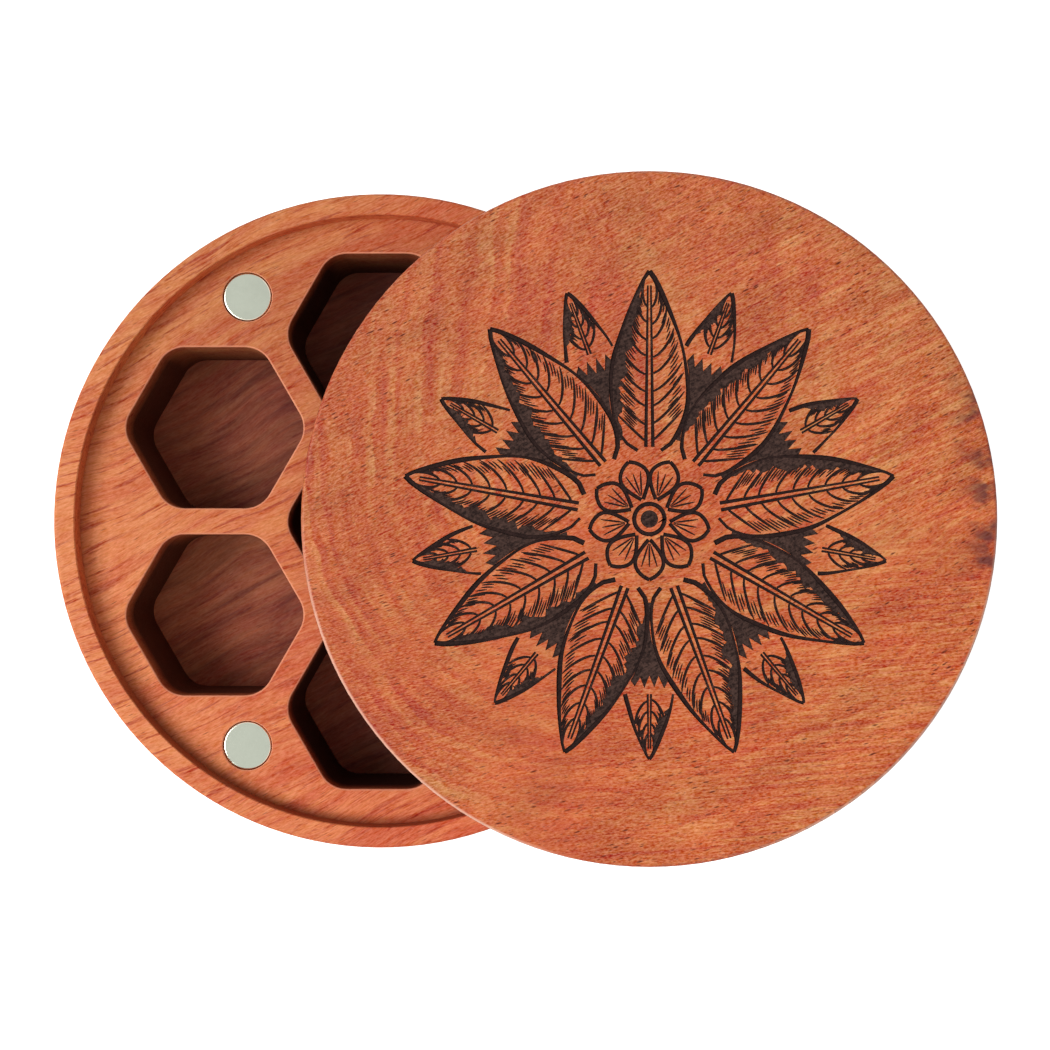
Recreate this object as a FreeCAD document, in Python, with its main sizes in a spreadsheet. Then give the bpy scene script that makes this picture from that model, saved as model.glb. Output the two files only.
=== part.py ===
import FreeCAD, Part
import os
import Sketcher

# Round chest for a set of dice: a wooden tray with seven hexagonal wells, and a loose wooden lid.
# Four magnets in the land of the tray meet four in the underside of the lid, so the lid snaps shut.
# Here the lid is off and parked: it lies flat across the right half of the tray's rim.
# Millimetres. Origin: the centre of the tray's base. +X towards the parked lid, +Y back, +Z up.

SIZES = {
    # wells
    "well_flats": 26.9,  # across the flats of one well
    "well_corner": 4.8,  # radius of a well's upright corners
    "well_wall": 4.4,  # wood between two wells
    "well_depth": 21.8,
    "well_round": 0.4,  # on a well's mouth
    "pattern_shift": 1.0,  # the wells and magnets stand this far left of the rim's axis
    # tray
    "floor_thickness": 5.0,  # under the wells
    "land_width": 5.8,  # from an outer well's flat to the step of the rim
    "rim_width": 3.45,
    "rim_height": 4.2,  # from the land up to the top of the rim
    "rim_round": 0.6,  # on the rim's outer edge
    "rim_break": 0.15,  # bevel on the rim's inner edge
    "foot_break": 0.8,  # bevel round the base
    # magnets
    "magnet_diameter": 8.0,
    "magnet_thickness": 3.0,
    "magnet_round": 0.3,  # on both edges of a magnet
    "magnet_margin": 3.1,  # from a magnet's bore to the step of the rim
    "magnet_angle": 60.0,  # of each bore from the X axis, in degrees
    "magnet_inset": 0.1,  # of a magnet's face below the wood
    "bore_clearance": 0.12,  # round a magnet, on the radius
    "bore_break": 0.15,  # bevel on a bore's mouth
    "glue_thickness": 0.2,
    # lid
    "lid_thickness": 15.1,  # without the spigot
    "lid_round": 0.6,  # on the edge of the top
    "lid_break": 0.5,  # bevel on the lower edge
    "spigot_clearance": 0.3,  # to the step of the rim, on the radius
    "spigot_gap": 0.3,  # from the shut lid's spigot down to the land
    "spigot_break": 0.4,  # bevel on the spigot's edge
}

# What follows from them, as expressions that the document works out.
WELL_PITCH = "(sizes.well_flats + sizes.well_wall)"
RECESS_RADIUS = f"({WELL_PITCH} + sizes.well_flats / 2 + sizes.land_width)"
TRAY_RADIUS = f"({RECESS_RADIUS} + sizes.rim_width)"
LAND_HEIGHT = "(sizes.floor_thickness + sizes.well_depth)"
TRAY_HEIGHT = f"({LAND_HEIGHT} + sizes.rim_height)"
SPIGOT_RADIUS = f"({RECESS_RADIUS} - sizes.spigot_clearance)"
SPIGOT_HEIGHT = "(sizes.rim_height - sizes.spigot_gap)"
BORE_RADIUS = "(sizes.magnet_diameter / 2 + sizes.bore_clearance)"
BORE_DEPTH = "(sizes.magnet_inset + sizes.magnet_thickness + sizes.glue_thickness)"
MAGNET_RING = f"({RECESS_RADIUS} - sizes.magnet_margin - {BORE_RADIUS})"
MAGNET_X = f"({MAGNET_RING} * cos(sizes.magnet_angle * 1 deg))"
MAGNET_Y = f"({MAGNET_RING} * sin(sizes.magnet_angle * 1 deg))"
# The parked lid stands with its left pair of magnets over the tray's right pair.
LID_SHIFT = f"(2 * {MAGNET_X})"


def magnet_x(side):
    """Where a magnet stands on the right (1) or the left (-1), from the axis of its tray or lid."""
    return f"({side} * {MAGNET_X} - sizes.pattern_shift)"


def magnet_y(side):
    """Where a magnet stands at the back (1) or the front (-1)."""
    return f"({side} * {MAGNET_Y})"


# The corners of the rectangle that each set of magnets stands in: signs of x and y.
CORNERS = {
    "back_right": (1, 1),
    "back_left": (-1, 1),
    "front_left": (-1, -1),
    "front_right": (1, -1),
}
WELL_SIDES = 6
FIRST_WELL_ANGLE = 30  # of the first outer well from the X axis, in degrees
NEAR = 1e-4  # two lengths closer than this are one length

document = FreeCAD.newDocument("dice_chest")


# ---- the sheet of sizes, and what every sub-part uses

def make_sheet():
    """The driving dimensions, one to a row, each with its name as alias."""
    sheet = document.addObject("Spreadsheet::Sheet", "sizes")
    for row, (name, value) in enumerate(SIZES.items(), 1):
        sheet.set(f"A{row}", name)
        sheet.set(f"B{row}", str(value))
        sheet.setAlias(f"B{row}", name)
    document.recompute()
    return sheet


def work_out(expression):
    """The number that an expression stands for, in millimetres."""
    value = sizes.evalExpression(expression.replace("sizes.", ""))
    return float(getattr(value, "Value", value))


def make_body(name):
    body = document.addObject("PartDesign::Body", name)
    body.Label = name
    return body


def level_sketch(body, name, height, left="0"):
    """An empty sketch that lies level in the body, at the height that an expression gives.

    Its own axis stands to the left of the body's axis by the other expression.
    """
    sketch = body.newObject("Sketcher::SketchObject", name)
    level = [part for part in body.Origin.OriginFeatures if part.Role == "XY_Plane"][0]
    sketch.AttachmentSupport = (level, [""])
    sketch.MapMode = "FlatFace"
    sketch.setExpression("AttachmentOffset.Base.x", f"-1 * {left}")
    sketch.setExpression("AttachmentOffset.Base.z", height)
    return sketch


def bind(sketch, constraint, name, expression):
    """Adds a dimension to the sketch and ties it to the sheet."""
    index = sketch.addConstraint(constraint)
    sketch.renameConstraint(index, name)
    sketch.setExpression(f"Constraints.{name}", expression)


def disc_sketch(body, name, height, radius):
    """A sketch of one circle about the body's axis."""
    sketch = level_sketch(body, name, height)
    start = work_out(radius)
    circle = sketch.addGeometry(Part.Circle(FreeCAD.Vector(), FreeCAD.Vector(0, 0, 1), start))
    sketch.addConstraint(Sketcher.Constraint("Coincident", circle, 3, -1, 1))
    bind(sketch, Sketcher.Constraint("Radius", circle, start), "radius", radius)
    return sketch


def pad(body, name, sketch, length):
    feature = body.newObject("PartDesign::Pad", name)
    feature.Profile = sketch
    feature.setExpression("Length", length)
    document.recompute()
    return feature


def pocket(body, name, sketch, depth, upwards=False):
    """Cuts the sketch's outline into the body, and makes sure that it did."""
    before = body.Shape.Volume
    feature = body.newObject("PartDesign::Pocket", name)
    feature.Profile = sketch
    feature.Reversed = upwards
    feature.setExpression("Length", depth)
    document.recompute()
    if not body.Shape.Volume < before:
        raise ValueError(f"{name} cuts nothing")
    return feature


def ring_edges(shape, height, radius):
    """The names of the circles about the body's axis with that radius, at that height."""
    names = []
    for number, edge in enumerate(shape.Edges, 1):
        if not isinstance(edge.Curve, Part.Circle):
            continue
        centre = edge.Curve.Center
        if abs(centre.z - height) > NEAR or abs(edge.Curve.Radius - radius) > NEAR:
            continue
        if centre.x ** 2 + centre.y ** 2 < NEAR:
            names.append(f"Edge{number}")
    return names


def level_edges(shape, height, bores):
    """The names of the edges at that height: the mouths of the bores, or those of the wells."""
    bore = work_out(BORE_RADIUS)
    widest = work_out(SPIGOT_RADIUS)
    names = []
    for number, edge in enumerate(shape.Edges, 1):
        box = edge.BoundBox
        if abs(box.ZMin - height) > NEAR or abs(box.ZMax - height) > NEAR:
            continue
        round_edge = isinstance(edge.Curve, Part.Circle)
        if round_edge and edge.Curve.Radius > widest - NEAR:
            continue
        is_bore = edge.isClosed() and abs(edge.Curve.Radius - bore) < NEAR
        if is_bore == bores:
            names.append(f"Edge{number}")
    return names


def bevel(body, name, base, edges, size):
    feature = body.newObject("PartDesign::Chamfer", name)
    feature.Base = (base, edges)
    feature.setExpression("Size", size)
    document.recompute()
    return feature


def rounding(body, name, base, edges, radius):
    feature = body.newObject("PartDesign::Fillet", name)
    feature.Base = (base, edges)
    feature.setExpression("Radius", radius)
    document.recompute()
    return feature


def place(thing, x, y, z):
    """Ties a sub-part's place to the sheet."""
    thing.setExpression("Placement.Base.x", x)
    thing.setExpression("Placement.Base.y", y)
    thing.setExpression("Placement.Base.z", z)


# ---- tray

def well_sketch(body, name, x, y):
    """A hexagon with round corners and level flats, centred x and y away from the pattern's axis.

    The centres of its six corner arcs stand on one guide circle, an equal step apart.
    """
    sketch = level_sketch(body, name, LAND_HEIGHT, "sizes.pattern_shift")
    centre = FreeCAD.Vector(work_out(x), work_out(y))
    corner = SIZES["well_corner"]
    guide_radius = (SIZES["well_flats"] / 2 - corner) / work_out("cos(30 deg)")
    up = FreeCAD.Vector(0, 0, 1)
    guide = sketch.addGeometry(Part.Circle(centre, up, guide_radius), True)
    turn = FreeCAD.Rotation(up, 360 / WELL_SIDES)
    to_corner = FreeCAD.Vector(guide_radius, 0)
    to_start = FreeCAD.Rotation(up, -180 / WELL_SIDES).multVec(FreeCAD.Vector(corner, 0))
    arcs = []
    flats = []
    for _ in range(WELL_SIDES):
        middle = centre + to_corner
        to_end = turn.multVec(to_start)
        outline = Part.Circle(middle, up, corner)
        first = outline.parameter(middle + to_start)
        last = outline.parameter(middle + to_end)
        arcs.append(sketch.addGeometry(Part.ArcOfCircle(outline, first, last)))
        to_corner = turn.multVec(to_corner)
        flats.append(sketch.addGeometry(Part.LineSegment(middle + to_end, centre + to_corner + to_end)))
        to_start = to_end
    for side in range(WELL_SIDES):
        following = arcs[(side + 1) % WELL_SIDES]
        sketch.addConstraint(Sketcher.Constraint("Tangent", arcs[side], 2, flats[side], 1))
        sketch.addConstraint(Sketcher.Constraint("Tangent", flats[side], 2, following, 1))
        sketch.addConstraint(Sketcher.Constraint("PointOnObject", arcs[side], 3, guide))
        if side:
            sketch.addConstraint(Sketcher.Constraint("Equal", arcs[0], arcs[side]))
            sketch.addConstraint(Sketcher.Constraint("Equal", flats[0], flats[side]))
    back = flats[1]
    front = flats[4]
    sketch.addConstraint(Sketcher.Constraint("Horizontal", back))
    bind(sketch, Sketcher.Constraint("DistanceX", -1, 1, guide, 3, centre.x), "centre_x", x)
    bind(sketch, Sketcher.Constraint("DistanceY", -1, 1, guide, 3, centre.y), "centre_y", y)
    bind(sketch, Sketcher.Constraint("Radius", arcs[0], corner), "corner", "sizes.well_corner")
    across = Sketcher.Constraint("DistanceY", front, 1, back, 1, SIZES["well_flats"])
    bind(sketch, across, "flats", "sizes.well_flats")
    return sketch


def bore_sketch(body, name, height):
    """Four circles, one for each magnet, about the body's axis."""
    sketch = level_sketch(body, name, height)
    radius = work_out(BORE_RADIUS)
    for corner, (side_x, side_y) in CORNERS.items():
        centre = FreeCAD.Vector(work_out(magnet_x(side_x)), work_out(magnet_y(side_y)))
        circle = sketch.addGeometry(Part.Circle(centre, FreeCAD.Vector(0, 0, 1), radius))
        across = Sketcher.Constraint("DistanceX", -1, 1, circle, 3, centre.x)
        along = Sketcher.Constraint("DistanceY", -1, 1, circle, 3, centre.y)
        bind(sketch, across, f"{corner}_x", magnet_x(side_x))
        bind(sketch, along, f"{corner}_y", magnet_y(side_y))
        bind(sketch, Sketcher.Constraint("Radius", circle, radius), f"{corner}_radius", BORE_RADIUS)
    return sketch


def make_tray():
    """A turned block with a recess in its top for the lid, seven wells and four magnet bores."""
    body = make_body("tray")
    pad(body, "tray_block", disc_sketch(body, "tray_outline", "0", TRAY_RADIUS), TRAY_HEIGHT)
    recess = disc_sketch(body, "recess_outline", TRAY_HEIGHT, RECESS_RADIUS)
    pocket(body, "recess", recess, "sizes.rim_height")
    centre = well_sketch(body, "centre_well_outline", "0", "0")
    pocket(body, "centre_well", centre, "sizes.well_depth")
    first_x = f"{WELL_PITCH} * cos({FIRST_WELL_ANGLE} deg)"
    first_y = f"{WELL_PITCH} * sin({FIRST_WELL_ANGLE} deg)"
    outer = well_sketch(body, "outer_well_outline", first_x, first_y)
    first_well = pocket(body, "outer_well", outer, "sizes.well_depth")
    one_well = body.Shape.Volume
    wells = body.newObject("PartDesign::PolarPattern", "outer_wells")
    wells.Originals = [first_well]
    wells.Axis = (centre, ["N_Axis"])
    wells.Occurrences = WELL_SIDES
    body.Tip = wells
    document.recompute()
    if not body.Shape.Volume < one_well:
        raise ValueError("the pattern of wells cuts nothing")
    bores = pocket(body, "tray_bores", bore_sketch(body, "tray_bore_outlines", LAND_HEIGHT), BORE_DEPTH)

    land = work_out(LAND_HEIGHT)
    top = work_out(TRAY_HEIGHT)
    radius = work_out(TRAY_RADIUS)
    mouths = rounding(body, "well_mouths", bores, level_edges(bores.Shape, land, False), "sizes.well_round")
    lips = bevel(body, "bore_mouths", mouths, level_edges(mouths.Shape, land, True), "sizes.bore_break")
    inner = ring_edges(lips.Shape, top, work_out(RECESS_RADIUS))
    step = bevel(body, "rim_inner_edge", lips, inner, "sizes.rim_break")
    foot = bevel(body, "foot_edge", step, ring_edges(step.Shape, 0, radius), "sizes.foot_break")
    rounding(body, "rim_outer_edge", foot, ring_edges(foot.Shape, top, radius), "sizes.rim_round")
    return body


# ---- lid

def make_lid():
    """A thick disc on a thinner one that fits the recess. It is built standing on its spigot."""
    body = make_body("lid")
    pad(body, "spigot", disc_sketch(body, "spigot_outline", "0", SPIGOT_RADIUS), SPIGOT_HEIGHT)
    outline = disc_sketch(body, "lid_outline", SPIGOT_HEIGHT, TRAY_RADIUS)
    pad(body, "lid_block", outline, "sizes.lid_thickness")
    bores = pocket(body, "lid_bores", bore_sketch(body, "lid_bore_outlines", "0"), BORE_DEPTH, upwards=True)

    shoulder = work_out(SPIGOT_HEIGHT)
    top = shoulder + SIZES["lid_thickness"]
    radius = work_out(TRAY_RADIUS)
    lips = bevel(body, "lid_bore_mouths", bores, level_edges(bores.Shape, 0, True), "sizes.bore_break")
    nose = ring_edges(lips.Shape, 0, work_out(SPIGOT_RADIUS))
    lead = bevel(body, "spigot_edge", lips, nose, "sizes.spigot_break")
    lower = bevel(body, "lid_lower_edge", lead, ring_edges(lead.Shape, shoulder, radius), "sizes.lid_break")
    rounding(body, "lid_upper_edge", lower, ring_edges(lower.Shape, top, radius), "sizes.lid_round")
    place(body, LID_SHIFT, "0", TRAY_HEIGHT)
    return body


# ---- magnets and the glue that holds them

def make_magnet(name, x, y, underside):
    """A nickel-plated disc with both edges rounded."""
    disc = document.addObject("Part::Cylinder", f"{name}_disc")
    disc.setExpression("Radius", "sizes.magnet_diameter / 2")
    disc.setExpression("Height", "sizes.magnet_thickness")
    document.recompute()
    magnet = document.addObject("Part::Fillet", name)
    magnet.Base = disc
    round_edges = [number for number, edge in enumerate(disc.Shape.Edges, 1) if edge.isClosed()]
    radius = SIZES["magnet_round"]
    magnet.Edges = [(number, radius, radius) for number in round_edges]
    magnet.Label = name
    place(magnet, x, y, underside)
    return magnet


def make_glue(name, x, y, underside):
    """The film of glue between a magnet and the end of its bore."""
    glue = document.addObject("Part::Cylinder", name)
    glue.Label = name
    glue.setExpression("Radius", "sizes.magnet_diameter / 2")
    glue.setExpression("Height", "sizes.glue_thickness")
    place(glue, x, y, underside)
    return glue


def make_magnet_sets():
    """In each corner a magnet and its glue in the tray, and the same upside down in the lid."""
    tray_glue_foot = f"{LAND_HEIGHT} - {BORE_DEPTH}"
    tray_magnet_foot = f"{tray_glue_foot} + sizes.glue_thickness"
    lid_magnet_foot = f"{TRAY_HEIGHT} + sizes.magnet_inset"
    lid_glue_foot = f"{lid_magnet_foot} + sizes.magnet_thickness"
    made = []
    for corner, (side_x, side_y) in CORNERS.items():
        x = magnet_x(side_x)
        y = magnet_y(side_y)
        lid_x = f"{LID_SHIFT} + {x}"
        made.append(make_magnet(f"tray_magnet_{corner}", x, y, tray_magnet_foot))
        made.append(make_glue(f"tray_glue_{corner}", x, y, tray_glue_foot))
        made.append(make_magnet(f"lid_magnet_{corner}", lid_x, y, lid_magnet_foot))
        made.append(make_glue(f"lid_glue_{corner}", lid_x, y, lid_glue_foot))
    return made


# ---- build, check and write

sizes = make_sheet()
sub_parts = [make_tray(), make_lid()]
sub_parts += make_magnet_sets()
document.recompute()

for thing in document.Objects:
    if "Invalid" in thing.State or "Error" in thing.State:
        raise ValueError(f"{thing.Label} is {thing.State}")
for thing in sub_parts:
    if thing.Shape.isNull() or not thing.Shape.isValid() or len(thing.Shape.Solids) != 1:
        raise ValueError(f"{thing.Label} isn't one valid solid")

os.makedirs("parts", exist_ok=True)
for thing in sub_parts:
    thing.Shape.exportStep(f"parts/{thing.Label}.step")
    print(thing.Label, round(thing.Shape.Volume, 1), thing.Shape.BoundBox)
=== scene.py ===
"""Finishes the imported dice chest: figured hardwood, nickel magnets and a burnt leaf ornament on the lid."""
import math
import random
from itertools import groupby

import bpy
from mathutils import Matrix, Vector


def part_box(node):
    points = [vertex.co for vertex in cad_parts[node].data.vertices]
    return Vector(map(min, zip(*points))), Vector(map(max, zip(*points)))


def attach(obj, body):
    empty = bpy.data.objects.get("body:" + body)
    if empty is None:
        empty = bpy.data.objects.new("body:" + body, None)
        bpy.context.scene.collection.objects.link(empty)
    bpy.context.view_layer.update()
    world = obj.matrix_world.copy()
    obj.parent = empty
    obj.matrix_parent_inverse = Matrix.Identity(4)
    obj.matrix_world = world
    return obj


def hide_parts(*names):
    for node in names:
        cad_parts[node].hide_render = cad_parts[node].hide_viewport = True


bl_info = {
    "name": "Dice chest",
    "version": (1, 0, 0),
    "blender": (4, 5, 0),
    "location": "3D View > Sidebar > Dice chest",
    "description": "Finishes a round wooden dice chest and sets up its picture",
    "category": "Object",
}

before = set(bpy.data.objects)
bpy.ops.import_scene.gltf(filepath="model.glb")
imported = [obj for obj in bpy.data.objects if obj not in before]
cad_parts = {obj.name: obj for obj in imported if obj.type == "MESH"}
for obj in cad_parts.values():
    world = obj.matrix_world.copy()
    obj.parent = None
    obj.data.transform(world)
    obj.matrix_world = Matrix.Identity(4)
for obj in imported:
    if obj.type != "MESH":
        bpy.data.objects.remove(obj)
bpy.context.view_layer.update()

MM = 0.001
PER_MM = 1000
LID_LOW, LID_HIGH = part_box("lid")
LID_TOP = LID_HIGH.z
LID_MIDDLE = (LID_LOW + LID_HIGH) / 2
LID_FIGURE_MIDDLE = (LID_MIDDLE.x, LID_MIDDLE.y, LID_TOP)

# the height of the tray's land and the radius of its recess, in millimetres
LAND = 26.8
RECESS = 50.55

# length, width and contrast of each set of fibres; length, width and size of pores; in millimetres
LID_FIBRES = {
    "fine": (2.2, 0.36, 0.18), "grit": (0.62, 0.24, 0.15),
    "streak": (15.0, 0.90, 0.2), "line": (26.0, 0.75, 0.16),
}
LID_PORES = (2.1, 0.50, 0.24)
LID_SPECKS = (0.95, 0.32, 0.25)
TRAY_FIBRES = {
    "broad": (75.0, 5.0, 0.16), "streak": (18.0, 1.1, 0.2), "vein": (13.0, 0.72, 0.16),
    "fine": (2.4, 0.30, 0.18), "grit": (0.8, 0.24, 0.15), "hue": (5.0, 0.45, 0.2), "dark": (13.0, 1.7, 0.16),
}
TRAY_PORES = (4.2, 0.5, 0.13)
BURNT_FIBRES = (1.6, 0.3, 0.2)
SCRATCHES = (5.0, 0.06, 0.28)
CROSS_SCRATCHES = (3.0, 0.05, 0.28)
LEVEL_TURN = math.radians(6)
SCRATCH_TURN = math.radians(62)

# colours of small marks and of painted highlights, reflections and shade, tints that multiply the colour of a
# zone, some of them painted shade, and shares of a plain colour
DARKEST = (0.004, 0.002, 0.001)
SPECK_COLOR = (0.20, 0.035, 0.018)
# painted highlight on the front of the lid's edge
LID_EDGE_HIGHLIGHT_COLOR = (1.0, 0.60, 0.45)
WELL_EDGE_HIGHLIGHT_COLOR = (1.0, 0.43, 0.26)
WELL_WALL_SHADE_COLOR = (0.030, 0.005, 0.004)
WELL_FLOOR_SHADE_COLOR = (0.16, 0.028, 0.026)
NICKEL_EDGE_REFLECTION_COLOR = (0.84, 0.80, 0.66)
TRAY_HUE_LIGHT = (0.006, 0.024, 0.013)
LID_BACK_TINT = (0.93, 1.05, 1.15)
LID_LEFT_TINT = (0.90, 0.86, 0.86)
TRAY_BACK_TINT = (1.0, 1.10, 1.07)
PAINTED_SHADE_TINT = (0.76, 0.79, 0.76)
PAINTED_FLOOR_SHADE_TINT = (0.66, 0.62, 0.62)
LID_SHADE_FLOOR_TINT = (0.46, 0.46, 0.48)
LID_SHADE_WALL_TINT = (0.25, 0.28, 0.30)
NICKEL_HAZE_SHARE = 0.9
GLUE_CLOUD_SHARE = 0.62
BURNT_LINE_SHARE = 2.6
BURNT_AREA_SHARE = 1.7

# where most of a noise lies, and the tone of the lid's warm wood between band and pale
NOISE_REACH = (0.3, 0.7)
WARM_TONE = 0.42

# the shaded side of a leaf, and the room in millimetres beside a leaf, between lines and round a line
SHADED = 1
LEAF_ROOM = 0.25
LINE_ROOM = 0.75
BOX_ROOM = 0.5

# how the lid's top is divided before it is cut, and how high its cutters stand, in millimetres;
# the shift is a share of a cell, and the steps are how many cuts lie on each side of the middle
WHOLE_TOP = 60.0
CARVED_MARGIN = 10.0
CARVED_REACH = 43.5
CARVED_CELL = 2.6
CARVED_SHIFT = 0.37
CARVED_STEPS = 17
CLOSEST = 0.05
CUTTER_RISE = 0.3
GROOVE_RISE = 0.011
GROOVE_STEP = 0.003

# how far apart points are the same, in metres; the least upward part of a level face's normal;
# and the turns up to which faces are flat and edges smooth
SAME_POINT = 1e-6
SAME_GROOVE_POINT = 1e-7
LEVEL_NORMAL = 0.99
FLAT_ANGLE = math.radians(0.05)
SMOOTH_ANGLE = math.radians(28)

# the stage, in metres; the camera's sensor in millimetres
SENSOR_MM = 36
CLIP_START = 0.01
LAMP_SIZE = 1.30
LAMP_AIM = Vector((0.02, 0, 0.03))
SUN_ANGLE = math.radians(32)
FLOOR_SIZE = 3
FLOOR_WHITE = (0.9, 0.9, 0.9, 1)

# what the settings of one kind share
COLOR = {"subtype": "COLOR", "min": 0, "max": 1}
LENGTH = {"unit": "LENGTH", "subtype": "DISTANCE"}
PLACE = {"unit": "LENGTH", "subtype": "TRANSLATION"}


# ---- settings

class DiceChestWood(bpy.types.PropertyGroup):
    """The colours and figure of the two pieces of wood."""
    grain_turn: bpy.props.FloatProperty(
        name="Grain direction", description="Angle of the fibres from the long side",
        default=math.radians(27), subtype="ANGLE", unit="ROTATION")
    tray_pale: bpy.props.FloatVectorProperty(
        name="Tray pale wood", description="Palest wood of the tray", default=(0.87, 0.290, 0.113), **COLOR)
    tray_red: bpy.props.FloatVectorProperty(
        name="Tray red wood", description="Broad salmon-red streaks of the tray",
        default=(0.69, 0.146, 0.064), **COLOR)
    tray_streak: bpy.props.FloatVectorProperty(
        name="Tray dark streak", description="Thin dark streaks of the tray",
        default=(0.44, 0.050, 0.026), **COLOR)
    # painted shade: the brightness left to the well walls and floors under the shade painted into them; the
    # burnish in the wall's description is that painted shade
    well_wall_shade_tone: bpy.props.FloatProperty(
        name="Well wall tone", description="Brightness of the cutter-burnished well walls",
        default=0.07, min=0, max=1)
    well_floor_shade_tone: bpy.props.FloatProperty(
        name="Well floor tone", description="Brightness of the well floors", default=0.44, min=0, max=1)
    # painted shade: the colour of the shade painted at the foot of the rim and on its inner wall in front;
    # the burnish in its description is that painted shade
    rim_foot_shade: bpy.props.FloatVectorProperty(
        name="Rim foot", description="Burnished wood at the foot of the rim",
        default=(0.27, 0.075, 0.030), **COLOR)
    lid_pale: bpy.props.FloatVectorProperty(
        name="Lid pale wood", description="Palest, ochre wood of the lid",
        default=(0.80, 0.326, 0.116), **COLOR)
    lid_warm: bpy.props.FloatVectorProperty(
        name="Lid warm wood", description="Orange wood of the lid", default=(0.66, 0.154, 0.053), **COLOR)
    lid_band: bpy.props.FloatVectorProperty(
        name="Lid growth band", description="Redder, darker late wood of the lid",
        default=(0.54, 0.084, 0.042), **COLOR)
    stain: bpy.props.FloatVectorProperty(
        name="Lid stain", description="Mineral stain near the right edge of the lid",
        default=(0.13, 0.035, 0.036), **COLOR)
    fibre_light: bpy.props.FloatVectorProperty(
        name="Fibre light", description="What a fibre's crest adds to the colour and its furrow takes away",
        default=(0.26, 0.175, 0.13), **COLOR)
    pore: bpy.props.FloatVectorProperty(
        name="Pores", description="Dark open pores", default=(0.135, 0.016, 0.004), **COLOR)
    ring_spacing: bpy.props.FloatProperty(
        name="Growth band spacing", description="Distance between growth bands at the front of the lid",
        default=3.6 * MM, **LENGTH)


class DiceChestOrnament(bpy.types.PropertyGroup):
    """The burnt ornament on the lid."""
    reach: bpy.props.FloatProperty(
        name="Reach", description="Radius of the leaf tips", default=38.4 * MM, **LENGTH)
    leaves: bpy.props.IntProperty(
        name="Leaves", description="How many broad leaves", default=9, min=5)
    outline: bpy.props.FloatProperty(
        name="Outline", description="Width of an outline", default=0.78 * MM, **LENGTH)
    hatch: bpy.props.FloatProperty(
        name="Hatching", description="Width of a fine line", default=0.40 * MM, **LENGTH)
    shade_depth: bpy.props.FloatProperty(
        name="Shade depth", description="How deep the dark areas are burnt", default=0.16 * MM, **LENGTH)
    seed: bpy.props.IntProperty(
        name="Hand", description="Seed of the slight unevenness of the lines", default=11)
    line_color: bpy.props.FloatVectorProperty(
        name="Burnt line", description="Colour of a burnt line", default=(0.016, 0.008, 0.007), **COLOR)
    shade_color: bpy.props.FloatVectorProperty(
        name="Burnt area", description="Colour of a burnt area", default=(0.055, 0.030, 0.024), **COLOR)


class DiceChestMetal(bpy.types.PropertyGroup):
    """The magnets and the glue that holds them."""
    nickel: bpy.props.FloatVectorProperty(
        name="Nickel", description="Colour of the magnets", default=(0.505, 0.535, 0.444), **COLOR)
    polish: bpy.props.FloatProperty(
        name="Polish", description="Roughness of the nickel", default=0.13, min=0, max=1)
    glue: bpy.props.FloatVectorProperty(
        name="Glue", description="Colour of the set glue", default=(0.78, 0.72, 0.58), **COLOR)


class DiceChestStage(bpy.types.PropertyGroup):
    """The camera and the light of the picture."""
    camera_place: bpy.props.FloatVectorProperty(
        name="Camera place", description="Where the camera stands, looking straight down",
        default=(0.0278, -0.0047, 0.340), **PLACE)
    lens: bpy.props.FloatProperty(name="Lens", description="Focal length in millimetres", default=64.23)
    shift_across: bpy.props.FloatProperty(
        name="Shift across", description="Framing to the side", default=-0.0229)
    shift_up: bpy.props.FloatProperty(
        name="Shift up", description="Framing up and down", default=0.0232)
    ambient: bpy.props.FloatProperty(
        name="Ambient", description="Strength of the light from all round", default=0.20, min=0)
    key_place: bpy.props.FloatVectorProperty(
        name="Key lamp place", description="Where the soft key lamp stands",
        default=(-1.335, -0.188, 1.95), **PLACE)
    key_power: bpy.props.FloatProperty(
        name="Key lamp power", description="Power of the soft key lamp", default=38.2, min=0, unit="POWER")
    sky_power: bpy.props.FloatProperty(
        name="Overhead light", description="Strength of the soft light from above", default=0.53, min=0)
    sky_turn: bpy.props.FloatVectorProperty(
        name="Overhead direction", description="Turn of the light from above",
        default=(math.radians(13), math.radians(-1), 0), subtype="EULER")
    floor_glow: bpy.props.FloatProperty(
        name="Floor glow", description="How much of the floor's white the camera sees of itself",
        default=0.8, min=0, max=1)


# ---- nodes

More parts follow.
